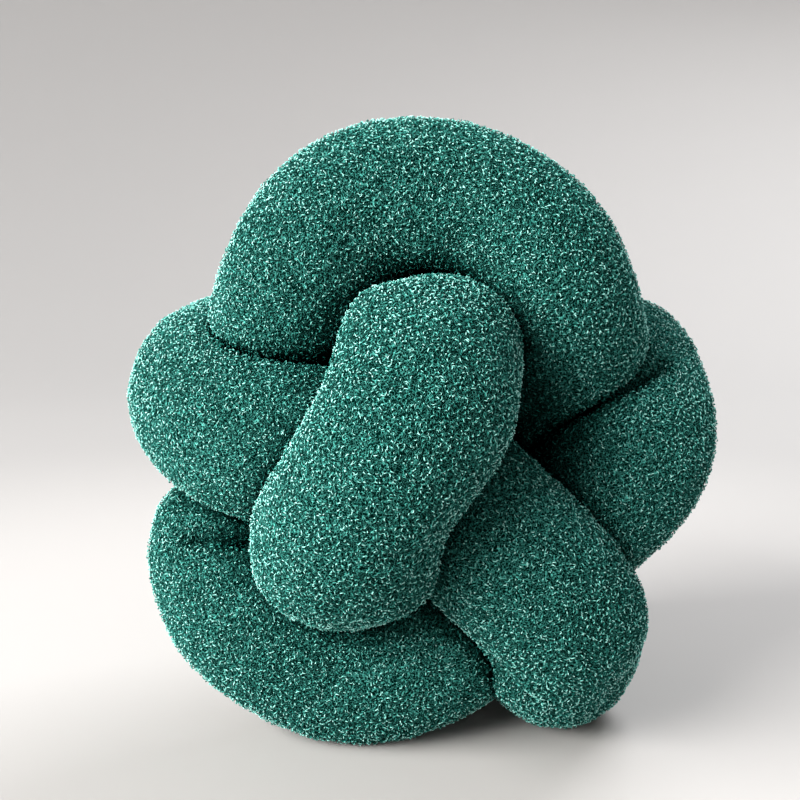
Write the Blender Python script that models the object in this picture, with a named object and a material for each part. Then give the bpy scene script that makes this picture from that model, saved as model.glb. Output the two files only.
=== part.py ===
"""A knot cushion: one long stuffed tube of boucle cloth, closed on itself and tied into a ball.

Run it with Blender: blender --background --python part.py
Metres, +Z up. The front faces -Y, and the origin is on the floor under the middle of the ball.
"""

from collections import namedtuple
import math

import bpy
import numpy as np

MM = 0.001

# Driving dimensions, in millimetres. The tube's own radius stands in the route below.
TOUCH_GAP = 2.6  # left between two strands that press on each other
SOFTNESS = 6.0  # how far a rounded edge reaches where a flank turns into a pressed face
FLOOR_SOFTNESS = 1.5  # the same where the tube meets the floor
SEATED = 0.6  # points nearer the floor than this lie on it

# Numbers of rings, points, steps and passes.
STATIONS = 200  # rings along the tube
SIDES = 20  # points round each ring
CURVE_STEPS = 40  # points of the smooth route between two waypoints
BEND_REACH = 2  # rings on either side that a bend still crumples
SWELL_ROUNDS = 3  # times that pressed sections hand their filling on
HALVINGS = 12  # steps of the search for the surface half-way between strands
ROUTE_EASING = 2  # passes of the filter that takes kinks out of the route
SWELL_EASING = 6  # passes of the filter that spreads the swelling along the tube

# Shares and limits.
NEIGHBOUR_SHARE = 2.2  # strands count as apart beyond this many radii along the tube
BEND_SHARE = 0.8  # share of a bend's own radius that the cloth inside it may fill
FILLED = 0.93  # share of the round section that the filling keeps when pressed
LEAST_SWELL = 0.93  # the thinnest that the tube gets, as a share of its radius
MOST_SWELL = 1.09  # the thickest that it gets
FARTHEST = 1.3  # where the search for a neighbour's surface begins, as a share of the radius
STRAIGHT = 1e-6  # bends gentler than this, in 1/mm, crumple nothing
LEVEL = 1e-3  # a direction that falls less than this never meets the floor

# The colour and finish of the cloth.
CLOTH_COLOUR = (0.012, 0.13, 0.095, 1.0)
CLOTH_ROUGHNESS = 0.9

# The route of the tube's middle, once round. The tube crosses itself eight times, over and under in
# turn, so each strand lies over one neighbour on the outside and dives under the next.
Waypoint = namedtuple("Waypoint", "strand place x y z radius")
ROUTE = [
    Waypoint("top arch", "left limb", -60, -39, 218, 38),
    Waypoint("top arch", "left shoulder", -42, -37, 252, 38),
    Waypoint("top arch", "crown, over the front strap", 0, -33, 263, 38),
    Waypoint("top arch", "right shoulder", 37, -35, 248, 38),
    Waypoint("top arch", "right limb", 63, -37, 212, 38),
    Waypoint("top arch", "right end", 68, -8, 181, 37),
    Waypoint("low back", "under the right lobe", 54, 22, 135, 35),
    Waypoint("low back", "right", 63, 79, 123, 37),
    Waypoint("low back", "over the lower right strap", 33, 104, 79, 38),
    Waypoint("low back", "on the floor", -13, 66, 34, 37),
    Waypoint("front strap", "under the lower left", -31, 0, 82, 36),
    Waypoint("front strap", "low end", -38, -90, 114, 38),
    Waypoint("front strap", "over the lower right strap", -17, -111, 152, 39),
    Waypoint("front strap", "high end", 0, -94, 184, 38),
    Waypoint("back strap", "under the top arch", 5, -32, 190, 36),
    Waypoint("back strap", "rising", 13, 30, 208, 36),
    Waypoint("back strap", "over the lobes", 15, 86, 204, 38),
    Waypoint("back strap", "falling", 1, 108, 145, 38),
    Waypoint("lower right strap", "under the low back", 9, 44, 99, 35),
    Waypoint("lower right strap", "rear leg", 49, 39, 56, 36),
    Waypoint("lower right strap", "foot, on the floor", 68, -10, 35, 38),
    Waypoint("lower right strap", "front leg", 52, -67, 82, 38),
    Waypoint("lower right strap", "high", 19, -62, 115, 38),
    Waypoint("left lobe", "under the front strap", -17, -40, 138, 36),
    Waypoint("left lobe", "coming out", -59, -56, 149, 38),
    Waypoint("left lobe", "over the lower left", -97, -33, 158, 38),
    Waypoint("left lobe", "turning back", -105, 19, 171, 38),
    Waypoint("left lobe", "rear", -59, 69, 176, 37),
    Waypoint("right lobe", "under the back strap", 5, 40, 161, 34),
    Waypoint("right lobe", "rear", 74, 56, 182, 37),
    Waypoint("right lobe", "over the top arch", 106, -3, 153, 38),
    Waypoint("right lobe", "front", 90, -27, 125, 38),
    Waypoint("lower left", "under the lower right strap", 61, -8, 90, 36),
    Waypoint("lower left", "right", 8, -33, 49, 38),
    Waypoint("lower left", "on the floor, over the front strap", -39, -34, 35, 38),
    Waypoint("lower left", "left", -82, -35, 60, 38),
    Waypoint("lower left", "high", -99, -16, 89, 37),
    Waypoint("top arch", "under the left lobe", -66, 13, 142, 35),
    Waypoint("top arch", "left end", -65, -13, 188, 37),
]


def clear_scene():
    for obj in list(bpy.data.objects):
        bpy.data.objects.remove(obj, do_unlink=True)


def smooth_loop(points, steps):
    """A smooth closed curve through the points: a cubic between each two, with no break in its bend."""
    chord = np.linalg.norm(np.roll(points, -1, axis=0)[:, :3] - points[:, :3], axis=1)
    span = np.sqrt(chord)
    count = len(points)
    system = np.zeros((count, count))
    slope = (np.roll(points, -1, axis=0) - points) / span[:, None]
    change = np.zeros_like(points)
    for k in range(count):
        before = k - 1
        after = (k + 1) % count
        system[k, before] += span[before]
        system[k, k] += 2 * (span[before] + span[k])
        system[k, after] += span[k]
        change[k] = 6 * (slope[k] - slope[before])
    second = np.linalg.solve(system, change)
    curve = []
    for k in range(count):
        after = (k + 1) % count
        bend_in = second[k] * span[k] ** 2 / 6
        bend_out = second[after] * span[k] ** 2 / 6
        for share in np.arange(steps) / steps:
            rest = 1 - share
            curve.append(
                rest * points[k]
                + share * points[after]
                + (rest**3 - rest) * bend_in
                + (share**3 - share) * bend_out
            )
    return np.array(curve)


def evenly(curve, count):
    """The closed curve cut at equal steps along its length, and that length."""
    closed = np.vstack([curve, curve[:1]])
    step = np.linalg.norm(np.diff(closed[:, :3], axis=0), axis=1)
    along = np.concatenate([[0], np.cumsum(step)])
    at = np.linspace(0, along[-1], count, endpoint=False)
    cut = [np.interp(at, along, closed[:, k]) for k in range(closed.shape[1])]
    return np.stack(cut, axis=1), along[-1]


def eased(values, passes):
    """The values round the loop, each mixed with its neighbours a few times."""
    for _ in range(passes):
        values = (np.roll(values, 1, axis=0) + 2 * values + np.roll(values, -1, axis=0)) / 4
    return values


def unit(vectors):
    return vectors / np.linalg.norm(vectors, axis=-1, keepdims=True)


def ring_directions(centres, sides):
    """The directions from the middle of the tube to each ring's points, carried along without twist."""
    tangent = unit(np.roll(centres, -1, axis=0) - np.roll(centres, 1, axis=0))
    count = len(centres)
    normal = np.zeros_like(centres)
    normal[0] = unit(np.cross(tangent[0], (0, 0, 1)))
    for k in range(1, count):
        normal[k] = unit(normal[k - 1] - tangent[k] * (normal[k - 1] @ tangent[k]))
    last = unit(normal[-1] - tangent[0] * (normal[-1] @ tangent[0]))
    twist = math.atan2(last @ np.cross(tangent[0], normal[0]), last @ normal[0])
    side = np.cross(tangent, normal)
    back = -twist * np.arange(count)[:, None] / count
    start = normal * np.cos(back) + side * np.sin(back)
    across = np.cross(tangent, start)
    turn = 2 * math.pi * np.arange(sides)[None, :, None] / sides
    return start[:, None] * np.cos(turn) + across[:, None] * np.sin(turn)


def bend(centres, length):
    """The curvature at each station, as a vector towards the inside of the bend."""
    step = length / len(centres)
    second = np.roll(centres, -1, axis=0) - 2 * centres + np.roll(centres, 1, axis=0)
    return eased(second / step**2, 1)


def room_between_strands(centres, directions, radii, length):
    """How far each point may stand out before it meets the surface half-way to another strand."""
    count, sides = directions.shape[:2]
    place = np.arange(count)
    apart = np.abs(place[:, None] - place[None])
    apart = np.minimum(apart, count - apart) * length / count
    near = apart < NEIGHBOUR_SHARE * (radii[:, None] + radii[None]) / 2
    low = np.zeros((count, sides))
    high = np.repeat(radii[:, None] * FARTHEST, sides, axis=1)
    for _ in range(HALVINGS):
        middle = (low + high) / 2
        point = (centres[:, None] + directions * middle[..., None]).reshape(-1, 3)
        squared = (point**2).sum(1)[:, None] + (centres**2).sum(1)[None] - 2 * point @ centres.T
        others = np.sqrt(np.maximum(squared, 0)).reshape(count, sides, count) / radii[None, None]
        others += np.where(near, np.inf, 0)[:, None]
        own = (middle + TOUCH_GAP / 2) / radii[:, None]
        free = own <= others.min(axis=2)
        low = np.where(free, middle, low)
        high = np.where(free, high, middle)
    return low


def softly_least(first, second, softness):
    """The smaller of two lengths, rounded where they are nearly the same."""
    overlap = np.maximum(softness - np.abs(first - second), 0)
    return np.minimum(first, second) - overlap**2 / (4 * softness)


def reach(centres, directions, radii, length):
    """How far each ring point stands from the middle of the tube.

    Free cloth stands at the tube's radius. Two strands that press on each other stop half-way
    between them, the inside of a bend crumples short of the bend's own middle, and what is pressed
    in swells the section where it is free.
    """
    inward = np.einsum("ij,ikj->ik", bend(centres, length), directions)
    nearby = [np.roll(inward, k, axis=0) for k in range(-BEND_REACH, BEND_REACH + 1)]
    bend_room = BEND_SHARE / np.maximum(eased(np.max(nearby, axis=0), BEND_REACH), STRAIGHT)
    down = -directions[..., 2]
    floor_room = np.where(down > LEVEL, centres[:, None, 2] / np.maximum(down, LEVEL), np.inf)
    swollen = radii.copy()
    round_area = math.pi * radii**2 * FILLED
    wedge = math.sin(2 * math.pi / directions.shape[1]) / 2
    for step in range(SWELL_ROUNDS):
        room = room_between_strands(centres, directions, swollen, length)
        room = np.minimum(room, bend_room)
        out = softly_least(np.repeat(swollen[:, None], room.shape[1], axis=1), room, SOFTNESS)
        out = np.where(np.isfinite(floor_room), softly_least(out, floor_room, FLOOR_SOFTNESS), out)
        if step < SWELL_ROUNDS - 1:
            area = wedge * (out * np.roll(out, -1, axis=1)).sum(axis=1)
            swollen = eased(swollen * np.sqrt(round_area / area), SWELL_EASING)
            swollen = np.clip(swollen, radii * LEAST_SWELL, radii * MOST_SWELL)
    return out


def tube_surface():
    """The ring points of the whole tube in millimetres, one row of points for each station."""
    route = np.array([(w.x, w.y, w.z, w.radius) for w in ROUTE], dtype=float)
    line, _ = evenly(smooth_loop(route, CURVE_STEPS), STATIONS)
    line, length = evenly(eased(line, ROUTE_EASING), STATIONS)
    centres = line[:, :3]
    directions = ring_directions(centres, SIDES)
    out = reach(centres, directions, line[:, 3], length)
    surface = centres[:, None] + directions * out[..., None]
    surface[..., 2] = np.where(surface[..., 2] < SEATED, 0, surface[..., 2])
    middle = (surface.min(axis=(0, 1)) + surface.max(axis=(0, 1))) / 2
    surface[..., :2] -= middle[:2]
    return surface


def cloth_material():
    material = bpy.data.materials.new("green_boucle")
    material.use_nodes = True
    shader = material.node_tree.nodes["Principled BSDF"]
    shader.inputs["Base Color"].default_value = CLOTH_COLOUR
    shader.inputs["Roughness"].default_value = CLOTH_ROUGHNESS
    shader.inputs["Metallic"].default_value = 0.0
    material.diffuse_color = CLOTH_COLOUR
    return material


def build_knot_tube():
    """The stuffed tube as one closed solid: its rings joined all round, the last one to the first."""
    surface = tube_surface()
    stations, sides = surface.shape[:2]
    faces = []
    for k in range(stations):
        ring = k * sides
        after = ((k + 1) % stations) * sides
        for s in range(sides):
            t = (s + 1) % sides
            faces.append((ring + s, ring + t, after + t, after + s))
    mesh = bpy.data.meshes.new("knot_tube")
    mesh.from_pydata((surface.reshape(-1, 3) * MM).tolist(), [], faces)
    mesh.shade_smooth()
    mesh.materials.append(cloth_material())
    mesh.validate()
    tube = bpy.data.objects.new("knot_tube", mesh)
    bpy.context.scene.collection.objects.link(tube)
    return tube


def main():
    clear_scene()
    build_knot_tube()


main()
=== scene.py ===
"""A knot cushion dressed for the camera: its boucle skin, the loops of its pile and a pale studio.

The frame gives the size and the place. Lengths in the tables are millimetres, and the objects are
in metres, +Z up, with the front towards -Y.
"""

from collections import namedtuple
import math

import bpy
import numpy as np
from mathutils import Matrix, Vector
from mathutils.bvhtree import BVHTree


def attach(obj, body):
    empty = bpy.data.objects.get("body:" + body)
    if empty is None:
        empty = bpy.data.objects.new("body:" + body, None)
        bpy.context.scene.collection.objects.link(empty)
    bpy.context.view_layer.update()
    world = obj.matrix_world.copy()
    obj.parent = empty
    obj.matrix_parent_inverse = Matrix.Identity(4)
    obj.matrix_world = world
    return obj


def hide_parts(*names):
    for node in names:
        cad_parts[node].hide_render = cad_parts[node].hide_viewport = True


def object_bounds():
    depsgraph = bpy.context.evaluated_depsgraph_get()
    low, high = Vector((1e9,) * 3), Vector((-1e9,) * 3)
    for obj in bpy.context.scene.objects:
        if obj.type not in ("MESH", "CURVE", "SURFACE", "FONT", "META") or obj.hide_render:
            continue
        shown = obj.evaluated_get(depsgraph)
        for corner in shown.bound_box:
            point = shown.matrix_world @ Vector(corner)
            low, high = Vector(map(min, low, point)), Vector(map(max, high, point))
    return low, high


bl_info = {
    "name": "Knot Cushion",
    "version": (1, 0, 0),
    "blender": (4, 5, 0),
    "location": "View3D > Sidebar > Cushion",
    "description": "Builds a boucle knot cushion, the loops of its pile and a pale studio",
    "category": "Add Mesh",
}

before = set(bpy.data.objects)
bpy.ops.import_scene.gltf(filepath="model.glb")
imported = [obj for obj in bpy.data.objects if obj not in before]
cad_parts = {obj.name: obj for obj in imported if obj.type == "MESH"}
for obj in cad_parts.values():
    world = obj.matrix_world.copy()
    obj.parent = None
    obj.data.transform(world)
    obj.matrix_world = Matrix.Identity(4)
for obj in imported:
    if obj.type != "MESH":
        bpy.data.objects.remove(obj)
CAD_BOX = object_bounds()

MM = 0.001
BODY = "root"
NODE = "knot_tube"

# The route of the tube's middle, once round, in millimetres, with the tube's radius at each place.
Waypoint = namedtuple("Waypoint", "strand place x y z radius")
ROUTE = [
    Waypoint("top_arch", "left limb", -60, -39, 218, 38),
    Waypoint("top_arch", "left shoulder", -42, -37, 252, 38),
    Waypoint("top_arch", "crown, over the front strap", 0, -33, 263, 38),
    Waypoint("top_arch", "right shoulder", 37, -35, 248, 38),
    Waypoint("top_arch", "right limb", 63, -37, 212, 38),
    Waypoint("top_arch", "right end", 68, -8, 181, 37),
    Waypoint("low_back", "under the right lobe", 54, 22, 135, 35),
    Waypoint("low_back", "right", 63, 79, 123, 37),
    Waypoint("low_back", "over the lower right strap", 33, 104, 79, 38),
    Waypoint("low_back", "on the floor", -13, 66, 34, 37),
    Waypoint("front_strap", "under the lower left", -31, 0, 82, 36),
    Waypoint("front_strap", "low end", -38, -90, 114, 38),
    Waypoint("front_strap", "over the lower right strap", -17, -111, 152, 39),
    Waypoint("front_strap", "high end", 0, -94, 184, 38),
    Waypoint("back_strap", "under the top arch", 5, -32, 190, 36),
    Waypoint("back_strap", "rising", 13, 30, 208, 36),
    Waypoint("back_strap", "over the lobes", 15, 86, 204, 38),
    Waypoint("back_strap", "falling", 1, 108, 145, 38),
    Waypoint("lower_right", "under the low back", 9, 44, 99, 35),
    Waypoint("lower_right", "rear leg", 49, 39, 56, 36),
    Waypoint("lower_right", "foot, on the floor", 68, -10, 35, 38),
    Waypoint("lower_right", "front leg", 52, -67, 82, 38),
    Waypoint("lower_right", "high", 19, -62, 115, 38),
    Waypoint("left_lobe", "under the front strap", -17, -40, 138, 36),
    Waypoint("left_lobe", "coming out", -59, -56, 149, 38),
    Waypoint("left_lobe", "over the lower left", -97, -33, 158, 38),
    Waypoint("left_lobe", "turning back", -105, 19, 171, 38),
    Waypoint("left_lobe", "rear", -59, 69, 176, 37),
    Waypoint("right_lobe", "under the back strap", 5, 40, 161, 34),
    Waypoint("right_lobe", "rear", 74, 56, 182, 37),
    Waypoint("right_lobe", "over the top arch", 106, -3, 153, 38),
    Waypoint("right_lobe", "front", 90, -27, 125, 38),
    Waypoint("lower_left", "under the lower right strap", 61, -8, 90, 36),
    Waypoint("lower_left", "right", 8, -33, 49, 38),
    Waypoint("lower_left", "on the floor, over the front strap", -39, -34, 35, 38),
    Waypoint("lower_left", "left", -82, -35, 60, 38),
    Waypoint("lower_left", "high", -99, -16, 89, 37),
    Waypoint("top_arch", "under the left lobe", -66, 13, 142, 35),
    Waypoint("top_arch", "left end", -65, -13, 188, 37),
]
STRANDS = list(dict.fromkeys(w.strand for w in ROUTE))

# How the filled tube gives way, as in the solid. Lengths are millimetres.
STATIONS = 200  # along the route
FINER = 4  # rings of the skin for each station
CURVE_STEPS = 40  # between two points of a smooth curve
ROUTE_EASING = 2  # times that the route is eased
SOFTNESS = 6.0  # the length over which the cloth rounds into a press
FLOOR_SOFTNESS = 1.5  # and into the floor
NEIGHBOUR_SHARE = 2.2  # radii along the tube within which it doesn't press on itself
BEND_SHARE = 0.8  # of the way to a bend's middle, where the cloth on its inside stops
BEND_REACH = 2  # stations on either side that a bend crumples
FILLED = 0.93  # of a round tube's area
LEAST_SWELL = 0.93  # radii: a pressed tube swells no less than this
MOST_SWELL = 1.09  # and no more than this
FARTHEST = 1.3  # radii, past which the cloth never reaches
SWELL_ROUNDS = 3  # of pressing the tube and letting it swell
SWELL_EASING = 6  # times that the swelling is eased
HALVINGS = 12  # of the room, before the surface between two strands is found
STRAIGHT = 1e-6  # a bend too slight to crumple the cloth
LEVEL = 1e-3  # a direction this little below level doesn't meet the floor


# ---------------------------------------------------------------------------- settings


class CushionSizes(bpy.types.PropertyGroup):
    sides: bpy.props.IntProperty(
        name="Points round the tube",
        description="Points of each ring of the skin",
        default=84,
        min=16,
    )
    touch_gap: bpy.props.FloatProperty(
        name="Gap at a touch",
        description="Room left between two strands that press on each other",
        default=1.6 * MM,
        unit="LENGTH",
    )
    pile_depth: bpy.props.FloatProperty(
        name="Pile depth",
        description="How far the woven ground lies under the tops of the loops",
        default=1.1 * MM,
        unit="LENGTH",
    )
    lumps: bpy.props.FloatProperty(
        name="Lumps",
        description="How far the filling makes the cloth uneven",
        default=0.7 * MM,
        unit="LENGTH",
    )
    fill: bpy.props.FloatProperty(
        name="Filling",
        description="How tight the filling is, from slack to full",
        default=0.9,
        min=0.0,
        max=1.0,
        subtype="FACTOR",
    )


class PileSizes(bpy.types.PropertyGroup):
    spacing: bpy.props.FloatProperty(
        name="Loop spacing",
        description="The least distance between the middles of two loops",
        default=1.53 * MM,
        unit="LENGTH",
    )
    length: bpy.props.FloatProperty(
        name="Loop length",
        description="From one foot of a loop to the other",
        default=2.0 * MM,
        unit="LENGTH",
    )
    thickness: bpy.props.FloatProperty(
        name="Yarn thickness",
        description="The thickness of the yarn that a loop is made of",
        default=0.66 * MM,
        unit="LENGTH",
    )
    rise: bpy.props.FloatProperty(
        name="Loop height",
        description="How far a loop stands above the woven ground",
        default=0.9 * MM,
        unit="LENGTH",
    )
    sway: bpy.props.FloatProperty(
        name="Loop sway",
        description="How far a loop bows to one side",
        default=0.9 * MM,
        unit="LENGTH",
    )
    seed: bpy.props.IntProperty(
        name="Seed",
        description="Picks one scatter of loops",
        default=7,
    )


class ClothColours(bpy.types.PropertyGroup):
    # painted highlight: the whitish colour put on the tops of the palest loops
    painted_highlight: bpy.props.FloatVectorProperty(
        name="Loop tops",
        description="The colour of the palest loops",
        default=(0.66, 1.0, 0.95),
        subtype="COLOR",
        min=0.0,
        max=1.0,
    )
    yarn: bpy.props.FloatVectorProperty(
        name="Yarn",
        description="The usual colour of the yarn",
        default=(0.03, 0.49, 0.4),
        subtype="COLOR",
        min=0.0,
        max=1.0,
    )
    # painted shade: this near-black of the cloth between the loops stands in for the shade that
    # falls among them
    ground: bpy.props.FloatVectorProperty(
        name="Ground",
        description="The colour of the cloth between the loops",
        default=(0.0, 0.008, 0.006),
        subtype="COLOR",
        min=0.0,
        max=1.0,
    )


class StudioSettings(bpy.types.PropertyGroup):
    floor: bpy.props.FloatVectorProperty(
        name="Floor",
        description="The colour of the floor near the cushion",
        default=(0.395, 0.383, 0.374),
        subtype="COLOR",
        min=0.0,
        max=1.0,
    )
    wall: bpy.props.FloatVectorProperty(
        name="Wall",
        description="The colour of the floor further off and of the wall it turns up into",
        default=(0.31, 0.302, 0.297),
        subtype="COLOR",
        min=0.0,
        max=1.0,
    )
    window: bpy.props.FloatProperty(
        name="Window light",
        description="The power of the low soft light on the left",
        default=425.0,
        unit="POWER",
    )
    fill: bpy.props.FloatProperty(
        name="Fill light",
        description="The power of the weak light high behind the right side",
        default=125.0,
        unit="POWER",
    )
    sky: bpy.props.FloatProperty(
        name="Sky",
        description="The strength of the even light from above",
        default=0.38,
        min=0.0,
    )
    lens: bpy.props.FloatProperty(
        name="Lens",
        description="The focal length of the camera",
        default=52.3,
        unit="CAMERA",
    )


class CushionSettings(bpy.types.PropertyGroup):
    sizes: bpy.props.PointerProperty(type=CushionSizes)
    pile: bpy.props.PointerProperty(type=PileSizes)
    colours: bpy.props.PointerProperty(type=ClothColours)
    studio: bpy.props.PointerProperty(type=StudioSettings)


# ------------------------------------------------------------------------ the tube's form


def smooth_loop(points, steps):
    """A smooth closed curve through the points, of cubics that share their bend where they meet."""
    chord = np.linalg.norm(np.roll(points, -1, axis=0)[:, :3] - points[:, :3], axis=1)
    span = np.sqrt(chord)
    count = len(points)
    system = np.zeros((count, count))
    slope = (np.roll(points, -1, axis=0) - points) / span[:, None]
    change = np.zeros_like(points)
    for k in range(count):
        before = k - 1
        after = (k + 1) % count
        system[k, before] += span[before]
        system[k, k] += 2 * (span[before] + span[k])
        system[k, after] += span[k]
        change[k] = 6 * (slope[k] - slope[before])
    second = np.linalg.solve(system, change)
    curve = []
    for k in range(count):
        after = (k + 1) % count
        bend_in = second[k] * span[k] ** 2 / 6
        bend_out = second[after] * span[k] ** 2 / 6
        for share in np.arange(steps) / steps:
            rest = 1 - share
            curve.append(
                rest * points[k]
                + share * points[after]
                + (rest**3 - rest) * bend_in
                + (share**3 - share) * bend_out
            )
    return np.array(curve)


def evenly(curve, count):
    """The closed curve cut at equal steps along its length, and that length."""
    closed = np.vstack([curve, curve[:1]])
    step = np.linalg.norm(np.diff(closed[:, :3], axis=0), axis=1)
    along = np.concatenate([[0], np.cumsum(step)])
    at = np.linspace(0, along[-1], count, endpoint=False)
    cut = [np.interp(at, along, closed[:, k]) for k in range(closed.shape[1])]
    return np.stack(cut, axis=1), along[-1]


def eased(values, passes):
    """The values round the loop, each mixed with its neighbours a few times."""
    for _ in range(passes):
        values = (np.roll(values, 1, axis=0) + 2 * values + np.roll(values, -1, axis=0)) / 4
    return values


def unit(vectors):
    return vectors / np.linalg.norm(vectors, axis=-1, keepdims=True)


def ring_directions(centres, sides):
    """The directions from the tube's middle to each ring's points, carried along without twist."""
    tangent = unit(np.roll(centres, -1, axis=0) - np.roll(centres, 1, axis=0))
    count = len(centres)
    normal = np.zeros_like(centres)
    normal[0] = unit(np.cross(tangent[0], (0, 0, 1)))
    for k in range(1, count):
        normal[k] = unit(normal[k - 1] - tangent[k] * (normal[k - 1] @ tangent[k]))
    last = unit(normal[-1] - tangent[0] * (normal[-1] @ tangent[0]))
    twist = math.atan2(last @ np.cross(tangent[0], normal[0]), last @ normal[0])
    side = np.cross(tangent, normal)
    back = -twist * np.arange(count)[:, None] / count
    start = normal * np.cos(back) + side * np.sin(back)
    across = np.cross(tangent, start)
    turn = 2 * math.pi * np.arange(sides)[None, :, None] / sides
    return start[:, None] * np.cos(turn) + across[:, None] * np.sin(turn)


def bend(centres, length):
    """The curvature at each station, as a vector towards the inside of the bend."""
    step = length / len(centres)
    second = np.roll(centres, -1, axis=0) - 2 * centres + np.roll(centres, 1, axis=0)
    return eased(second / step**2, 1)


def room_between_strands(centres, directions, radii, length, gap):
    """How far each point may stand out before it meets the surface half-way to another strand."""
    count, sides = directions.shape[:2]
    others = centres[::FINER]
    other_radii = radii[::FINER]
    apart = np.abs(np.arange(count)[:, None] - np.arange(count)[None, ::FINER])
    apart = np.minimum(apart, count - apart) * length / count
    near = apart < NEIGHBOUR_SHARE * (radii[:, None] + other_radii[None]) / 2
    low = np.zeros((count, sides))
    high = np.repeat(radii[:, None] * FARTHEST, sides, axis=1)
    squares = (others**2).sum(1)[None]
    for _ in range(HALVINGS):
        middle = (low + high) / 2
        point = (centres[:, None] + directions * middle[..., None]).reshape(-1, 3)
        squared = (point**2).sum(1)[:, None] + squares - 2 * point @ others.T
        away = np.sqrt(np.maximum(squared, 0)).reshape(count, sides, -1) / other_radii
        away += np.where(near, np.inf, 0)[:, None]
        free = (middle + gap / 2) / radii[:, None] <= away.min(axis=2)
        low = np.where(free, middle, low)
        high = np.where(free, high, middle)
    return low


def softly_least(first, second, softness):
    """The smaller of two lengths, rounded where they are nearly the same."""
    overlap = np.maximum(softness - np.abs(first - second), 0)
    return np.minimum(first, second) - overlap**2 / (4 * softness)


def reach(centres, directions, radii, length, gap):
    """How far each ring point stands from the middle of the tube, as pressed cloth does."""
    inward = np.einsum("ij,ikj->ik", bend(centres, length), directions)
    window = BEND_REACH * FINER
    nearby = [np.roll(inward, k, axis=0) for k in range(-window, window + 1)]
    tightest = eased(np.max(nearby, axis=0), BEND_REACH * FINER**2)
    bend_room = BEND_SHARE / np.maximum(tightest, STRAIGHT)
    down = -directions[..., 2]
    floor_room = np.where(down > LEVEL, centres[:, None, 2] / np.maximum(down, LEVEL), np.inf)
    swollen = radii.copy()
    round_area = math.pi * radii**2 * FILLED
    wedge = math.sin(2 * math.pi / directions.shape[1]) / 2
    for step in range(SWELL_ROUNDS):
        room = room_between_strands(centres, directions, swollen, length, gap)
        room = np.minimum(room, bend_room)
        out = softly_least(np.repeat(swollen[:, None], room.shape[1], axis=1), room, SOFTNESS)
        out = np.where(np.isfinite(floor_room), softly_least(out, floor_room, FLOOR_SOFTNESS), out)
        if step < SWELL_ROUNDS - 1:
            area = wedge * (out * np.roll(out, -1, axis=1)).sum(axis=1)
            swollen = eased(swollen * np.sqrt(round_area / area), SWELL_EASING * FINER**2)
            swollen = np.clip(swollen, radii * LEAST_SWELL, radii * MOST_SWELL)
    return out


def fine_route():
    """The middle line and radius at the skin's rings, its length, and the strand of each ring."""
    route = np.array([(w.x, w.y, w.z, w.radius) for w in ROUTE], dtype=float)
    line, _ = evenly(smooth_loop(route, CURVE_STEPS), STATIONS)
    line, _ = evenly(eased(line, ROUTE_EASING), STATIONS)
    fine, length = evenly(smooth_loop(line, CURVE_STEPS), STATIONS * FINER)
    gaps = np.linalg.norm(fine[:, None, :3] - route[None, :, :3], axis=2)
    strands = np.array([STRANDS.index(ROUTE[k].strand) for k in gaps.argmin(axis=1)])
    return fine, length, strands


def tube_points(sizes):
    """The skin's rings in metres, on the frame's place, and the strand of each ring."""
    fine, length, strands = fine_route()
    centres = fine[:, :3]
    directions = ring_directions(centres, sizes.sides)
    out = reach(centres, directions, fine[:, 3], length, sizes.touch_gap / MM)
    surface = centres[:, None] + directions * out[..., None]
    low, high = (np.array(corner) / MM for corner in CAD_BOX)
    middle = (surface.min(axis=(0, 1)) + surface.max(axis=(0, 1))) / 2
    surface[..., :2] += ((low + high) / 2 - middle)[:2]
    surface[..., 2] += low[2]
    return surface * MM, strands


# --------------------------------------------------------------------------- mesh helpers


def ring_faces(stations, sides):
    """The faces of a closed tube of rings, the last ring joined to the first."""
    ring = np.arange(stations)[:, None] * sides
    after = (np.arange(1, stations + 1) % stations)[:, None] * sides
    side = np.arange(sides)[None]
    beside = (side + 1) % sides
    return np.stack([ring + side, ring + beside, after + beside, after + side], -1).reshape(-1, 4)


def ring_normals(points):
    """The outward normal at each point of the tube's rings."""
    along = np.roll(points, -1, axis=0) - np.roll(points, 1, axis=0)
    across = np.roll(points, -1, axis=1) - np.roll(points, 1, axis=1)
    return unit(np.cross(across, along))


def new_piece(name, mesh):
    piece = bpy.data.objects.new(name, mesh)
    bpy.context.scene.collection.objects.link(piece)
    return piece


# ------------------------------------------------------------------------------- the tube

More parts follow.
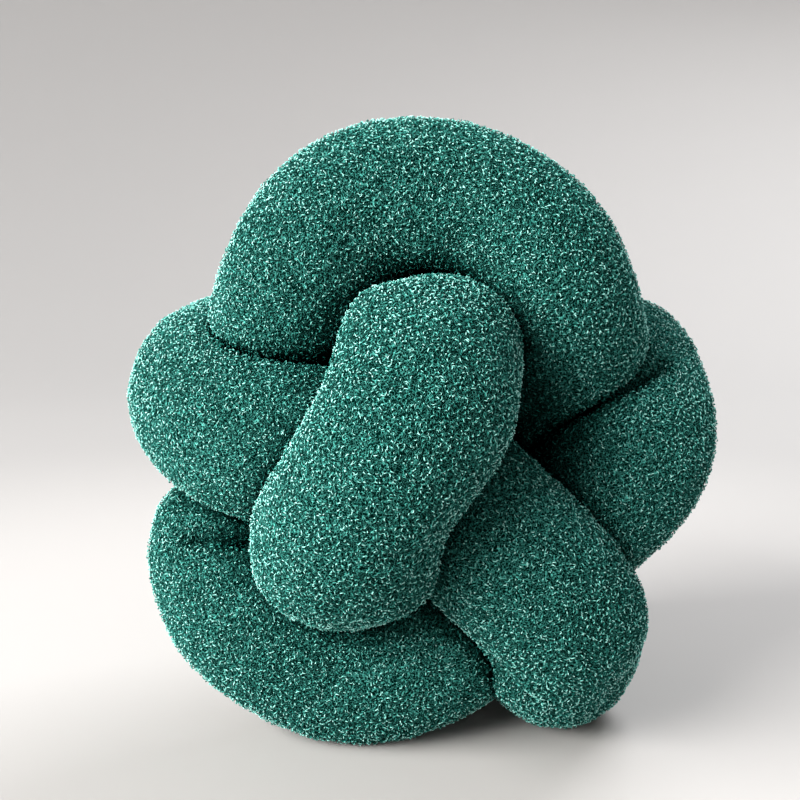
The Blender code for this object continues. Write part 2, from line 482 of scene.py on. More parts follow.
# Places where the filling stands out further, or less far, than a round tube: the middle of each,
# its height and how far it reaches, in millimetres.
Swell = namedtuple("Swell", "strand place x y z height reach")
SWELLS = [
    Swell("top_arch", "right shoulder", 74, -52, 260, 1.8, 34),
    Swell("top_arch", "right edge", 103, -35, 222, -1.5, 26),
    Swell("top_arch", "left edge", -97, -45, 215, 1.0, 40),
    Swell("top_arch", "lower edge, over the front strap", -5, -64, 232, 7.0, 20),
    Swell("left_lobe", "left edge", -141, -29, 165, 1.0, 40),
    Swell("left_lobe", "upper edge", -128, -4, 200, 2.2, 30),
    Swell("front_strap", "high end, left corner", -24, -94, 211, 8.5, 20),
    Swell("front_strap", "left edge", -47, -96, 140, -1.5, 26),
    Swell("front_strap", "high end, right corner", 28, -80, 214, 3.5, 22),
    Swell("front_strap", "right edge", 30, -115, 163, 3.2, 24),
    Swell("front_strap", "right edge, above the low end", 9, -121, 123, -3.5, 16),
    Swell("front_strap", "low end, right corner", -6, -103, 92, 5.5, 18),
    Swell("front_strap", "low end, left corner", -66, -103, 92, 3.0, 18),
    Swell("lower_left", "under the left lobe", -120, -36, 113, 8.0, 13),
    Swell("lower_left", "left edge", -131, -31, 94, 3.2, 20),
    Swell("lower_left", "lower edge", -112, -52, 45, 2.6, 38),
    Swell("lower_left", "underside", -50, -62, 8, 1.0, 40),
    Swell("lower_left", "above the fold", -102, -46, 112, 3.5, 9),
    Swell("lower_right", "left edge", 27, -79, 53, -4.0, 16),
    Swell("lower_right", "underside of the low end", 38, -62, 32, 3.5, 10),
    Swell("lower_right", "low end, right", 95, -59, 31, -5.5, 24),
    Swell("lower_right", "right edge", 98, -71, 72, 3.5, 26),
    Swell("right_lobe", "upper corner", 125, 15, 200, 4.5, 28),
    Swell("right_lobe", "hollow beside the arch", 101, -36, 176, -5.0, 7),
]

# The folds that show, each a soft trough from its faint end to its deep one, in millimetres.
Fold = namedtuple("Fold", "strand place start end width depth")
FOLDS = [
    Fold("lower_left", "inside of its bend", (-110, -50, 102), (-82, -52, 102), 5.5, 14.0),
    Fold("right_lobe", "where it turns over the arch", (116, -30, 181), (95, -40, 172), 4.5, 12.0),
    Fold("lower_right", "above its underside", (28, -80, 53), (50, -76, 31), 3.5, 6.0),
    Fold("front_strap", "low end, middle", (-50, -132, 109), (-21, -133, 106), 4.0, 1.4),
    Fold("front_strap", "low end, right", (2, -126, 117), (-18, -140, 118), 4.0, 2.0),
]
FOLD_LIP = 0.8  # how strongly the cloth rises beside a fold
FOLD_FADE = 0.65  # a fold's share of its depth at its faint end
FOLD_HEIGHT = 20  # how far above or below the line between its ends a fold still acts

LUMP_LENGTH = 34  # the length of the waves that the filling's lumps make, in millimetres

# The looks out from each point that tell how open it lies: how far each ring of them leans from
# straight out, in degrees, how many are in it, and by what share of a step it is turned.
LOOK_RINGS = ((35, 4, 0.0), (65, 6, 0.5))
LOOK_START = 1.5  # millimetres above the skin
LOOK_LENGTH = 0.4  # metres
UPRIGHT = 0.9  # the upward part of a direction that counts as nearly straight up

SKIN_ROWS = 3  # rows in which the skin's length lies on its map
MAP_EDGE = 0.02  # left free round each row


def fold_depth(points, normals, strands):
    """How far the folds draw the skin in at each point, in metres, with a low lip beside them."""
    depth = np.zeros(points.shape[:-1])
    for fold in FOLDS:
        start = np.array(fold.start) * MM
        end = np.array(fold.end) * MM
        away = np.linalg.norm(points - (start + end) / 2, axis=-1)
        facing = normals[np.unravel_index(away.argmin(), away.shape)]
        along = end - start
        along -= facing * (along @ facing)
        offset = points - start
        height = offset @ facing
        offset -= facing * height[..., None]
        share = np.clip((offset @ along) / (along @ along), 0, 1)
        squared = ((offset - share[..., None] * along) ** 2).sum(axis=-1) / (fold.width * MM) ** 2
        acts = np.abs(height) < FOLD_HEIGHT * MM
        acts &= (strands == STRANDS.index(fold.strand))[:, None]
        acts &= normals @ facing > 0
        fade = FOLD_FADE + (1 - FOLD_FADE) * share
        depth += acts * fade * fold.depth * MM * (1 - FOLD_LIP * squared) * np.exp(-squared)
    return depth


def swell_height(points, strands):
    """How far the swells push the skin out at each point, in metres."""
    height = np.zeros(points.shape[:-1])
    for swell in SWELLS:
        away = np.linalg.norm(points - np.array((swell.x, swell.y, swell.z)) * MM, axis=-1)
        own = (strands == STRANDS.index(swell.strand))[:, None]
        height += own * swell.height * MM * np.exp(-((away / (swell.reach * MM)) ** 2))
    return height


def lump_height(points):
    """A slow rise and fall between -1 and 1, of waves too uneven to line up in rows."""
    turn = 2 * math.pi / (LUMP_LENGTH * MM)
    x, y, z = np.moveaxis(points * turn, -1, 0)
    return np.sin(x + 1.3 * np.sin(0.7 * z)) * np.sin(0.9 * y + 0.8) * np.cos(1.1 * z - 0.4 * x)


def open_share(points, normals, faces):
    """The share of the room in front of each point that lies open, from 0, pressed shut, to 1."""
    flat = points.reshape(-1, 3)
    tree = BVHTree.FromPolygons(flat.tolist(), faces.tolist())
    facing = normals.reshape(-1, 3)
    helper = np.where(np.abs(facing[:, 2:]) < UPRIGHT, (0.0, 0.0, 1.0), (1.0, 0.0, 0.0))
    side = unit(np.cross(facing, helper))
    other = np.cross(facing, side)
    looks = [facing]
    for lean, count, shift in LOOK_RINGS:
        out = math.cos(math.radians(lean))
        over = math.sin(math.radians(lean))
        for k in range(count):
            turn = 2 * math.pi * (k + shift) / count
            aside = side * math.cos(turn) + other * math.sin(turn)
            looks.append(facing * out + aside * over)
    start = flat + facing * LOOK_START * MM
    seen = np.zeros(len(flat))
    for look in looks:
        for k in range(len(flat)):
            if tree.ray_cast(start[k], look[k], LOOK_LENGTH)[0] is None:
                seen[k] += 1
    return seen / len(looks)


def skin_map(mesh, stations, sides):
    """Lays the skin out in rows on its map, each step along the tube as long as the others."""
    per_row = math.ceil(stations / SKIN_ROWS)
    pitch = (1 - MAP_EDGE) / SKIN_ROWS
    height = pitch - MAP_EDGE
    width = 1 - 2 * MAP_EDGE
    row, column = np.divmod(np.arange(stations)[:, None], per_row)
    side = np.arange(sides)[None]
    uv = np.empty((stations, sides, 4, 2))
    for corner, (step_round, step_on) in enumerate(((0, 0), (1, 0), (1, 1), (0, 1))):
        uv[..., corner, 0] = MAP_EDGE + width * (column + step_on) / per_row
        uv[..., corner, 1] = MAP_EDGE + row * pitch + height * (side + step_round) / sides
    layer = mesh.uv_layers.new(name="OFBake")
    layer.uv.foreach_set("vector", uv.ravel().astype(np.float32))


class CUSHION_OT_tube(bpy.types.Operator):
    """Builds the filled tube's woven skin along its route, pressed, folded and flat on the floor"""

    bl_idname = "cushion.tube"
    bl_label = "Tube"

    def execute(self, context):
        sizes = context.scene.cushion.sizes
        points, strands = tube_points(sizes)
        normals = ring_normals(points)
        faces = ring_faces(*points.shape[:2])
        height = swell_height(points, strands) + sizes.lumps * lump_height(points)
        height -= sizes.pile_depth + fold_depth(points, normals, strands)
        skin = points + normals * height[..., None]
        skin[..., 2] = np.maximum(skin[..., 2], CAD_BOX[0].z)
        shares = open_share(skin, ring_normals(skin), faces)
        mesh = bpy.data.meshes.new("knot_tube_skin")
        mesh.from_pydata(skin.reshape(-1, 3).tolist(), [], faces.tolist())
        mesh.shade_smooth()
        skin_map(mesh, *points.shape[:2])
        # how open each point lies, which thins the loops and sets the painted shade in creases
        mesh.attributes.new("open", "FLOAT", "POINT").data.foreach_set("value", shares)
        strand = mesh.attributes.new("strand", "INT", "FACE")
        strand.data.foreach_set("value", np.repeat(strands, points.shape[1]).astype(np.int32))
        mesh.materials.append(skin_material(context.scene.cushion.colours))
        piece = new_piece("knot_tube_skin", mesh)
        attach(piece, BODY)
        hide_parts(NODE)
        return {"FINISHED"}


# ------------------------------------------------------------------------------- materials

# Patches of a noise in which the pile is a little brighter or darker.
CLUMPS_PER_METRE = 300.0
CLUMP_NOISE = (0.35, 0.6)  # the noise where the pile is darkest, and where it is brightest
CLUMP_TONES = (0.8, 1.05)  # how bright the pile is at each

# The finer curls of the ground.
CURLS_PER_METRE = 850.0
CURL_WIDTH = 0.08  # the yarn of a curl, as a part of the noise's height
CURL_LAYERS = (0.0, 3.7)  # metres by which the noise of each layer is shifted
CURL_BUMP = 0.8 * MM
CREST_POWER = 2.0  # narrows the crest of a curl, so that more of it keeps the painted shade of the gaps
CREST_HIGHLIGHT = 0.12  # painted highlight: how far a crest goes from the yarn's colour to that of the loops' painted highlight

PAINTED_SHADE_OPENNESS = (0.1, 0.7)  # painted shade in creases: how open the skin lies where it is darkest, and where the painted shade ends

# The tones of the yarn, from the darkest loops, made darker still by the painted shade in creases,
# to the palest: the place on the map, the share of the yarn's own colour, and how far it then goes
# towards the painted highlight's colour.
YARN_TONES = ((0.08, 0.05, 0.0), (0.6, 0.8, 0.0), (0.95, 1.0, 0.25))
FOOT_SHADE_HEIGHTS = (0.2, 0.55)  # painted shade at the feet: heights on a loop between which it comes out of the dark
HIGHLIGHT_HEIGHTS = (0.42, 0.88)  # painted highlight: heights on a loop between which it turns pale
HIGHLIGHT_TONES = (0.2, 0.8)  # painted highlight: tones between which a loop's top goes from the yarn's colour to pale


def rgba(colour):
    return (colour[0], colour[1], colour[2], 1.0)


def between(first, second, share):
    """The colour that lies a share of the way from the first to the second."""
    return rgba([a + share * (b - a) for a, b in zip(first, second)])


def feed(tree, socket, value):
    """Links an input to another node's output, or sets it to a value."""
    if isinstance(value, bpy.types.NodeSocket):
        tree.links.new(value, socket)
    else:
        socket.default_value = value


def add(tree, kind, inputs=None, **settings):
    """A new node with its settings made, and its inputs set or linked by number or name."""
    node = tree.nodes.new(kind)
    for name, value in settings.items():
        setattr(node, name, value)
    for key, value in (inputs or {}).items():
        feed(tree, node.inputs[key], value)
    return node


def maths(tree, operation, *values, **settings):
    """The result of one step of arithmetic."""
    node = add(tree, "ShaderNodeMath", dict(enumerate(values)), operation=operation, **settings)
    return node.outputs[0]


def remapped(tree, value, start, end=(0.0, 1.0), kind="LINEAR"):
    """A value taken from one range to another, and kept inside it."""
    limits = dict(zip(("From Min", "From Max", "To Min", "To Max"), (*start, *end)))
    inputs = {"Value": value, **limits}
    return add(tree, "ShaderNodeMapRange", inputs, interpolation_type=kind).outputs[0]


def mixed(tree, factor, first, second):
    """One colour turned into another by a factor."""
    node = add(tree, "ShaderNodeMix", data_type="RGBA")
    inputs = [socket for socket in node.inputs if socket.enabled]
    for socket, value in zip(inputs, (factor, first, second)):
        feed(tree, socket, value)
    return next(socket for socket in node.outputs if socket.enabled)


def clump_tone(tree, place=None):
    """How bright the pile is at each place, in soft patches from a noise."""
    inputs = {"Scale": CLUMPS_PER_METRE, "Detail": 0.0}
    if place:
        inputs["Vector"] = place
    noise = add(tree, "ShaderNodeTexNoise", inputs)
    return remapped(tree, noise.outputs["Fac"], CLUMP_NOISE, CLUMP_TONES)


def squiggle_group():
    """A shader group of small crossing curls, as yarn makes: how high they stand at each place."""
    group = bpy.data.node_groups.get("boucle_squiggles")
    if group:
        return group
    group = bpy.data.node_groups.new("boucle_squiggles", "ShaderNodeTree")
    face = group.interface
    face.new_socket(name="Vector", in_out="INPUT", socket_type="NodeSocketVector")
    for name, default in (("Curls per metre", CURLS_PER_METRE), ("Yarn width", CURL_WIDTH)):
        socket = face.new_socket(name=name, in_out="INPUT", socket_type="NodeSocketFloat")
        socket.default_value = default
    face.new_socket(name="Height", in_out="OUTPUT", socket_type="NodeSocketFloat")
    inside = group.nodes.new("NodeGroupInput").outputs
    outside = group.nodes.new("NodeGroupOutput")
    heights = []
    for shift in CURL_LAYERS:
        step = (shift, -shift, shift)
        place = add(group, "ShaderNodeVectorMath", {0: inside["Vector"], 1: step}).outputs[0]
        inputs = {"Vector": place, "Scale": inside["Curls per metre"], "Detail": 0.0}
        noise = add(group, "ShaderNodeTexNoise", inputs).outputs["Fac"]
        away = maths(group, "ABSOLUTE", maths(group, "SUBTRACT", noise, 0.5))
        share = maths(group, "DIVIDE", away, inside["Yarn width"])
        heights.append(maths(group, "SUBTRACT", 1.0, share, use_clamp=True))
    group.links.new(maths(group, "MAXIMUM", *heights), outside.inputs["Height"])
    return group


def matt_material(name, roughness, gloss):
    """A new material, its tree and its shader."""
    material = bpy.data.materials.new(name)
    material.use_nodes = True
    tree = material.node_tree
    shader = tree.nodes["Principled BSDF"]
    shader.inputs["Roughness"].default_value = roughness
    shader.inputs["Specular IOR Level"].default_value = gloss
    return material, tree, shader


def skin_material(colours):
    """The woven ground between the loops, painted near-black as the shade among them, with finer
    curls of its own whose gaps keep that painted shade and whose crests take the yarn's colour.
    """
    material, tree, shader = matt_material("boucle_ground", roughness=0.9, gloss=0.0)
    place = add(tree, "ShaderNodeTexCoord").outputs["Object"]
    curls = add(tree, "ShaderNodeGroup", node_tree=squiggle_group())
    tree.links.new(place, curls.inputs["Vector"])
    height = curls.outputs["Height"]
    # painted shade: the ground darkens where the skin lies shut, in creases and between strands
    shares = add(tree, "ShaderNodeAttribute", attribute_name="open").outputs["Fac"]
    painted_shade = remapped(tree, shares, PAINTED_SHADE_OPENNESS)
    crest = maths(tree, "POWER", height, CREST_POWER)
    shade_and_patches = maths(tree, "MULTIPLY", clump_tone(tree, place), painted_shade)
    crest_colour = between(colours.yarn, colours.painted_highlight, CREST_HIGHLIGHT)
    colour = mixed(tree, maths(tree, "MULTIPLY", crest, shade_and_patches), rgba(colours.ground), crest_colour)
    tree.links.new(colour, shader.inputs["Base Color"])
    bump = add(tree, "ShaderNodeBump", {"Height": height, "Distance": CURL_BUMP})
    tree.links.new(bump.outputs["Normal"], shader.inputs["Normal"])
    return material


def loop_material(colours):
    """The loops' yarn, with painted shade at their feet and a painted highlight on the tops of the
    palest. Its map holds a loop's tone, with the painted shade of creases in it, across and the
    height on it upwards.
    """
    material, tree, shader = matt_material("boucle_loops", roughness=0.6, gloss=0.08)
    place = add(tree, "ShaderNodeUVMap", uv_map="OFBake").outputs["UV"]
    tone, height, _ = add(tree, "ShaderNodeSeparateXYZ", {0: place}).outputs
    tones = add(tree, "ShaderNodeValToRGB", {"Fac": tone})
    ramp = tones.color_ramp.elements
    ramp.new(0.5)
    for stop, (position, share, paler) in zip(ramp, YARN_TONES):
        stop.position = position
        stop.color = between([share * c for c in colours.yarn], colours.painted_highlight, paler)
    # painted shade at the feet, where a loop meets the ground
    out_of_foot_shade = remapped(tree, height, FOOT_SHADE_HEIGHTS, kind="SMOOTHSTEP")
    colour = mixed(tree, out_of_foot_shade, rgba(colours.ground), tones.outputs["Color"])
    # painted highlight on the tops of the palest loops
    top = remapped(tree, height, HIGHLIGHT_HEIGHTS, kind="SMOOTHSTEP")
    bright = remapped(tree, tone, HIGHLIGHT_TONES, kind="SMOOTHSTEP")
    colour = mixed(tree, maths(tree, "MULTIPLY", top, bright), colour, rgba(colours.painted_highlight))
    tree.links.new(colour, shader.inputs["Base Color"])
    return material


# ------------------------------------------------------------------------------- the pile

# The kinds of loop: how many rings each is drawn with, then shares of the pile's own sizes.
LoopKind = namedtuple("LoopKind", "name rings length thickness rise sway")
LOOP_KINDS = [
    LoopKind("standing", 3, 0.85, 1.0, 1.6, 0.9),
    LoopKind("curled", 3, 0.9, 1.0, 0.9, 1.7),
    LoopKind("bowed", 3, 1.15, 0.9, 1.0, -1.4),
    LoopKind("nub", 2, 0.65, 1.15, 1.2, 0.4),
]
LOOP_SIDES = 3
LOOP_LEANS = (0.45, 0.35)  # radians, the most that a loop tips about its length and about its side
LOOP_SCALES = (0.75, 1.25)
LOOP_TONES = (0.15, 1.0)
PRESSED_SHADE_TONE = 0.15  # painted shade: how bright the loops are where strands press shut
FULL_PILE = 0.12  # how open the skin lies where the loops are at their full number
TRIAL_SPACING = 0.65 * MM  # between the places that the scatter tries

# The loops on their map.
FOOT_LEVEL = 0.3  # the height at which their feet lie
TONE_EDGE = 0.07  # left free before the darkest tone
TONE_SPAN = 0.86
TONE_NUDGE = 0.03  # keeps the points of one loop apart

PILE_INPUTS = (
    ("Geometry", "Geometry"),
    ("Loop spacing", "Float"),
    ("Loop length", "Float"),
    ("Yarn thickness", "Float"),
    ("Loop height", "Float"),
    ("Loop sway", "Float"),
    ("Strand", "Int"),
    ("Seed", "Int"),
    ("Material", "Material"),
)
MOST_TRIANGLES = 200_000  # in one piece


def stored(tree, geometry, name, value, kind="FLOAT", domain="POINT"):
    """The geometry with a value kept on it under a name."""
    inputs = {"Geometry": geometry, "Name": name, "Value": value}
    node = add(tree, "GeometryNodeStoreNamedAttribute", inputs, data_type=kind, domain=domain)
    return node.outputs["Geometry"]


def loop_form(tree, inside, kind):
    """One loop of yarn: a thin spindle, bent up from its feet and to one side."""
    sizes = {"Segments": LOOP_SIDES, "Rings": kind.rings, "Radius": 1.0}
    spindle = add(tree, "GeometryNodeMeshUVSphere", sizes).outputs["Mesh"]
    place = add(tree, "GeometryNodeInputPosition").outputs[0]
    x, y, z = add(tree, "ShaderNodeSeparateXYZ", {0: place}).outputs
    crown = maths(tree, "SUBTRACT", 1.0, maths(tree, "MULTIPLY", z, z))

    def scaled(name, share, by):
        return maths(tree, "MULTIPLY", maths(tree, "MULTIPLY", inside[name], share), by)

    along = scaled("Loop length", kind.length / 2, z)
    thick_across = scaled("Yarn thickness", kind.thickness / 2, y)
    thick_up = scaled("Yarn thickness", kind.thickness / 2, x)
    across = maths(tree, "ADD", thick_across, scaled("Loop sway", kind.sway, crown))
    up = maths(tree, "ADD", thick_up, scaled("Loop height", kind.rise, crown))
    bent = add(tree, "ShaderNodeCombineXYZ", {0: along, 1: across, 2: up}).outputs[0]
    level = maths(tree, "MULTIPLY_ADD", x, 0.5, 0.5)
    above_feet = maths(tree, "SUBTRACT", level, FOOT_LEVEL)
    shade = maths(tree, "MULTIPLY_ADD", above_feet, crown, FOOT_LEVEL)
    # the height on the loop, which sets its painted shade at the feet and its painted highlight at
    # the top
    marked = stored(tree, spindle, "height_on_loop", shade)
    marked = stored(tree, marked, "nudge", maths(tree, "ADD", z, y))
    form = add(tree, "GeometryNodeSetPosition", {"Geometry": marked, "Position": bent})
    return add(tree, "GeometryNodeGeometryToInstance", {"Geometry": form.outputs["Geometry"]})


def named(tree, name, kind="FLOAT"):
    node = add(tree, "GeometryNodeInputNamedAttribute", {"Name": name}, data_type=kind)
    return node.outputs["Attribute"]


def random_value(tree, limits, seed, salt):
    """A value between the limits for each point, the salt picking one draw of the seed's."""
    draw = add(tree, "FunctionNodeRandomValue", data_type="FLOAT")
    draw.inputs[2].default_value, draw.inputs[3].default_value = limits
    tree.links.new(maths(tree, "ADD", seed, float(salt)), draw.inputs["Seed"])
    return draw.outputs[1]


def pile_tree():
    """The geometry nodes that scatter loops of yarn over one strand of the skin."""
    tree = bpy.data.node_groups.new("boucle_pile", "GeometryNodeTree")
    face = tree.interface
    face.new_socket(name="Geometry", in_out="OUTPUT", socket_type="NodeSocketGeometry")
    for name, kind in PILE_INPUTS:
        face.new_socket(name=name, in_out="INPUT", socket_type="NodeSocket" + kind)
    inside = tree.nodes.new("NodeGroupInput").outputs
    outside = tree.nodes.new("NodeGroupOutput")
    seed = inside["Seed"]

    own = add(tree, "FunctionNodeCompare", data_type="INT", operation="EQUAL")
    tree.links.new(named(tree, "strand", "INT"), own.inputs[2])
    tree.links.new(inside["Strand"], own.inputs[3])
    scatter = add(
        tree,
        "GeometryNodeDistributePointsOnFaces",
        {
            "Mesh": inside["Geometry"],
            "Selection": own.outputs["Result"],
            "Distance Min": inside["Loop spacing"],
            "Density Max": 1.0 / TRIAL_SPACING**2,
            "Density Factor": remapped(tree, named(tree, "open"), (0.0, FULL_PILE)),
            "Seed": seed,
        },
        distribute_method="POISSON",
    )

    kinds = add(tree, "GeometryNodeJoinGeometry")
    for kind in LOOP_KINDS:
        form = loop_form(tree, inside, kind)
        tree.links.new(form.outputs["Instances"], kinds.inputs["Geometry"])
    pick = add(tree, "FunctionNodeRandomValue", data_type="INT")
    pick.inputs[4].default_value = 0
    pick.inputs[5].default_value = len(LOOP_KINDS) - 1
    tree.links.new(seed, pick.inputs["Seed"])

    over_length, over_side = LOOP_LEANS
    turns = {
        0: random_value(tree, (-over_length, over_length), seed, 1),
        1: random_value(tree, (-over_side, over_side), seed, 2),
        2: random_value(tree, (0.0, 2 * math.pi), seed, 3),
    }
    spin = add(tree, "ShaderNodeCombineXYZ", turns)
    turned = add(tree, "FunctionNodeEulerToRotation", {0: spin.outputs[0]})
    facing = add(
        tree,
        "FunctionNodeRotateRotation",
        {"Rotation": scatter.outputs["Rotation"], "Rotate By": turned.outputs[0]},
        rotation_space="LOCAL",
    )
    loops = add(
        tree,
        "GeometryNodeInstanceOnPoints",
        {
            "Points": scatter.outputs["Points"],
            "Instance": kinds.outputs["Geometry"],
            "Pick Instance": True,
            "Instance Index": pick.outputs[2],
            "Rotation": facing.outputs["Rotation"],
            "Scale": random_value(tree, LOOP_SCALES, seed, 5),
        },
    )

    # painted shade: loops darken where the skin lies shut, on top of their own random tone and the
    # patches
    painted_shade = remapped(tree, named(tree, "open"), PAINTED_SHADE_OPENNESS, (PRESSED_SHADE_TONE, 1.0))
    own_tone = random_value(tree, LOOP_TONES, seed, 6)
    tone = maths(tree, "MULTIPLY", painted_shade, maths(tree, "MULTIPLY", own_tone, clump_tone(tree)))
    toned = stored(tree, loops.outputs["Instances"], "tone", tone, domain="INSTANCE")
    real = add(tree, "GeometryNodeRealizeInstances", {"Geometry": toned}).outputs["Geometry"]
    across = maths(tree, "MULTIPLY_ADD", named(tree, "tone"), TONE_SPAN, TONE_EDGE)
    across = maths(tree, "MULTIPLY_ADD", named(tree, "nudge"), TONE_NUDGE, across)
    chart = add(tree, "ShaderNodeCombineXYZ", {0: across, 1: named(tree, "height_on_loop")})
    mapped = stored(tree, real, "OFBake", chart.outputs[0], "FLOAT2", "CORNER")
    smooth = add(tree, "GeometryNodeSetShadeSmooth", {"Geometry": mapped}).outputs["Geometry"]
    finish = {"Geometry": smooth, "Material": inside["Material"]}
    done = add(tree, "GeometryNodeSetMaterial", finish)
    tree.links.new(done.outputs["Geometry"], outside.inputs["Geometry"])
    return tree


def set_inputs(modifier, values):
    """Sets a geometry nodes modifier's inputs by their names in the tree."""
    for item in modifier.node_group.interface.items_tree:
        if item.item_type == "SOCKET" and item.in_out == "INPUT" and item.name in values:
            modifier[item.identifier] = values[item.name]


def triangle_count(mesh):
    return len(mesh.loops) - 2 * len(mesh.polygons)


def keep_above_floor(mesh):
    """Lifts what reaches below the floor up to it."""
    points = np.empty(3 * len(mesh.vertices), dtype=np.float32)
    mesh.vertices.foreach_get("co", points)
    points[2::3] = np.maximum(points[2::3], CAD_BOX[0].z)
    mesh.vertices.foreach_set("co", points)
    mesh.update()


class CUSHION_OT_pile(bpy.types.Operator):
    """Scatters the loops of yarn over the tube, one piece for each strand"""

    bl_idname = "cushion.pile"
    bl_label = "Pile"

    def execute(self, context):
        settings = context.scene.cushion
        pile = settings.pile
        skin = bpy.data.objects["knot_tube_skin"]
        material = loop_material(settings.colours)
        tree = pile_tree()
        for number, strand in enumerate(STRANDS):
            carrier = new_piece("carrier", skin.data.copy())
            modifier = carrier.modifiers.new("pile", "NODES")
            modifier.node_group = tree
            set_inputs(
                modifier,
                {
                    "Loop spacing": pile.spacing,
                    "Loop length": pile.length,
                    "Yarn thickness": pile.thickness,
                    "Loop height": pile.rise,
                    "Loop sway": pile.sway,
                    "Strand": number,
                    "Seed": pile.seed + number,
                    "Material": material,
                },
            )
            context.view_layer.update()
            shown = carrier.evaluated_get(context.evaluated_depsgraph_get())
            mesh = bpy.data.meshes.new_from_object(shown)
            mesh.name = "pile_" + strand
            bpy.data.objects.remove(carrier)
            keep_above_floor(mesh)
            if triangle_count(mesh) > MOST_TRIANGLES:
                raise RuntimeError(f"{mesh.name} has more than {MOST_TRIANGLES} triangles")
            piece = new_piece(mesh.name, mesh)
            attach(piece, BODY)
        return {"FINISHED"}


# ------------------------------------------------------------------------------- the studio

CAMERA_PLACE = (-0.012, -0.5885, 0.242)
CAMERA_TILT = 7.8  # degrees below the horizon
SKY_COLOUR = (0.95, 0.97, 1.0, 1.0)

# The round room, in metres.
FLOOR_RINGS = (0.3, 0.8)  # the radii of the flat floor's rings
WALL_RADIUS = 4.0
WALL_HEIGHT = 4.6
CORNER_RADIUS = 2.6
CORNER_STEPS = 16
ROOM_SIDES = 96  # points of each ring
PAINT_CHANGE = (0.3, 0.9)  # from the middle, where the floor's colour goes over to the wall's


def studio_paint(floor, wall):
    """The paint of the room, which goes over from the floor's colour to the wall's."""
    material, tree, shader = matt_material("studio_paint", roughness=0.7, gloss=0.3)
    place = add(tree, "ShaderNodeTexCoord").outputs["Object"]
    away = add(tree, "ShaderNodeVectorMath", {0: place}, operation="LENGTH").outputs["Value"]
    share = remapped(tree, away, PAINT_CHANGE, kind="SMOOTHSTEP")
    tree.links.new(mixed(tree, share, rgba(floor), rgba(wall)), shader.inputs["Base Color"])
    return material


def studio_sweep(floor, wall):
    """A round floor that turns up into a wall all round."""
    profile = [(out, 0.0) for out in FLOOR_RINGS]
    for k in range(CORNER_STEPS + 1):
        turn = math.pi / 2 * k / CORNER_STEPS
        out = WALL_RADIUS - CORNER_RADIUS + CORNER_RADIUS * math.sin(turn)
        profile.append((out, CORNER_RADIUS * (1 - math.cos(turn))))
    profile.append((WALL_RADIUS, WALL_HEIGHT))
    points = []
    for out, up in profile:
        for k in range(ROOM_SIDES):
            turn = 2 * math.pi * k / ROOM_SIDES
            points.append((out * math.cos(turn), out * math.sin(turn), up))
    faces = [tuple(range(ROOM_SIDES))]
    for low in range(0, len(points) - ROOM_SIDES, ROOM_SIDES):
        high = low + ROOM_SIDES
        for k in range(ROOM_SIDES):
            beside = (k + 1) % ROOM_SIDES
            faces.append((low + k, high + k, high + beside, low + beside))
    mesh = bpy.data.meshes.new("studio_sweep")
    mesh.from_pydata(points, [], faces)
    mesh.shade_smooth()
    mesh.materials.append(studio_paint(floor, wall))
    sweep = new_piece("studio_sweep", mesh)


# A light's turn from the front towards the right and its height, in degrees, then its own width
# and height in metres.
SoftLight = namedtuple("SoftLight", "name turn rise width height colour")
WINDOW = SoftLight("window", -57, 24, 2.8, 2.0, (1.0, 0.985, 0.965))
FILL = SoftLight("fill", 142, 45, 2.0, 1.6, (0.97, 0.98, 1.0))
LIGHT_DISTANCE = 3.2
LIGHT_TARGET = Vector((0.0, 0.0, 0.16))


def soft_light(form, power):
    """A soft panel of light that looks at the middle of the cushion."""
    lamp = bpy.data.lights.new(form.name, "AREA")
    lamp.shape = "RECTANGLE"
    lamp.size = form.width
    lamp.size_y = form.height
    lamp.energy = power
    lamp.color = form.colour
    turn = math.radians(form.turn)
    rise = math.radians(form.rise)
    level = math.cos(rise)
    away = Vector((math.sin(turn) * level, -math.cos(turn) * level, math.sin(rise)))
    light = bpy.data.objects.new(form.name, lamp)
    light.location = LIGHT_TARGET + away * LIGHT_DISTANCE
    light.rotation_euler = (-away).to_track_quat("-Z", "Y").to_euler()
    bpy.context.scene.collection.objects.link(light)


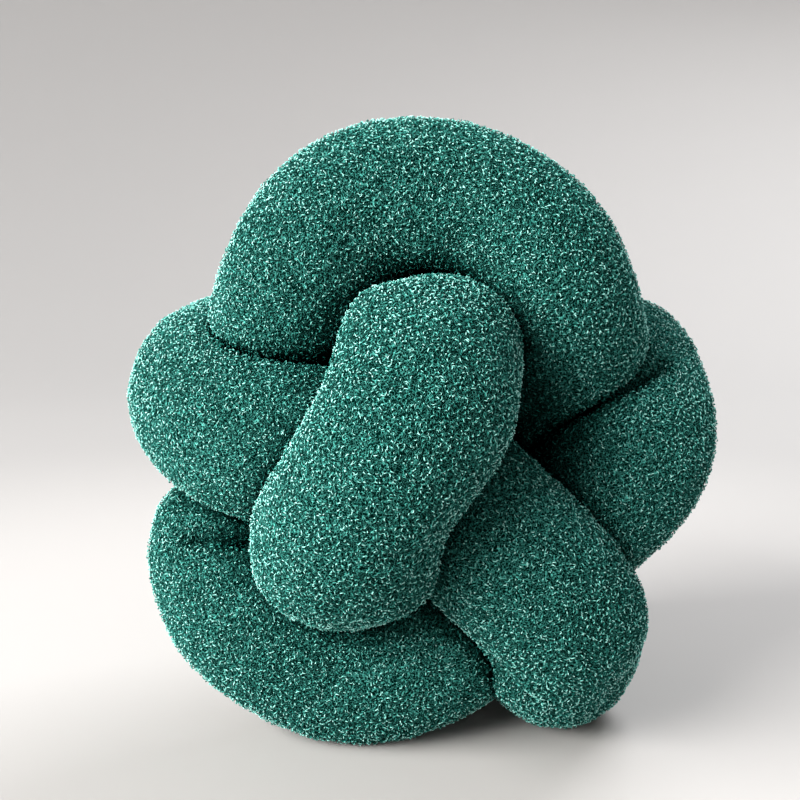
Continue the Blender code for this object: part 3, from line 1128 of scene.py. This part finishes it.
class CUSHION_OT_studio(bpy.types.Operator):
    """Builds the pale floor and wall, the soft lights and the camera"""

    bl_idname = "cushion.studio"
    bl_label = "Studio"

    def execute(self, context):
        scene = context.scene
        studio = scene.cushion.studio
        studio_sweep(studio.floor, studio.wall)
        world = bpy.data.worlds.new("studio_sky")
        world.use_nodes = True
        sky = world.node_tree.nodes["Background"]
        sky.inputs["Color"].default_value = SKY_COLOUR
        sky.inputs["Strength"].default_value = studio.sky
        scene.world = world
        soft_light(WINDOW, studio.window)
        soft_light(FILL, studio.fill)
        lens = bpy.data.cameras.new("camera")
        lens.lens = studio.lens
        lens.sensor_width = 36.0
        lens.clip_start = 0.01
        camera = bpy.data.objects.new("camera", lens)
        camera.location = CAMERA_PLACE
        camera.rotation_euler = (math.radians(90 - CAMERA_TILT), 0, 0)
        scene.collection.objects.link(camera)
        scene.camera = camera
        scene.view_settings.view_transform = "Standard"
        return {"FINISHED"}


# ---------------------------------------------------------------------------------- add-on


class CUSHION_PT_panel(bpy.types.Panel):
    bl_idname = "CUSHION_PT_panel"
    bl_label = "Knot Cushion"
    bl_space_type = "VIEW_3D"
    bl_region_type = "UI"
    bl_category = "Cushion"

    def draw(self, context):
        layout = self.layout
        settings = context.scene.cushion
        for title, group in (
            ("Tube", settings.sizes),
            ("Pile", settings.pile),
            ("Colours", settings.colours),
            ("Studio", settings.studio),
        ):
            box = layout.box()
            box.label(text=title)
            for name in group.__annotations__:
                box.prop(group, name)
        for operator in OPERATORS:
            layout.operator(operator.bl_idname)


OPERATORS = (CUSHION_OT_studio, CUSHION_OT_tube, CUSHION_OT_pile)
CLASSES = (
    CushionSizes,
    PileSizes,
    ClothColours,
    StudioSettings,
    CushionSettings,
    *OPERATORS,
    CUSHION_PT_panel,
)


def register():
    for cls in CLASSES:
        bpy.utils.register_class(cls)
    bpy.types.Scene.cushion = bpy.props.PointerProperty(type=CushionSettings)


def unregister():
    del bpy.types.Scene.cushion
    for cls in reversed(CLASSES):
        bpy.utils.unregister_class(cls)


def main():
    register()
    bpy.ops.cushion.studio()
    bpy.ops.cushion.tube()
    bpy.ops.cushion.pile()


if __name__ == "__main__":
    main()
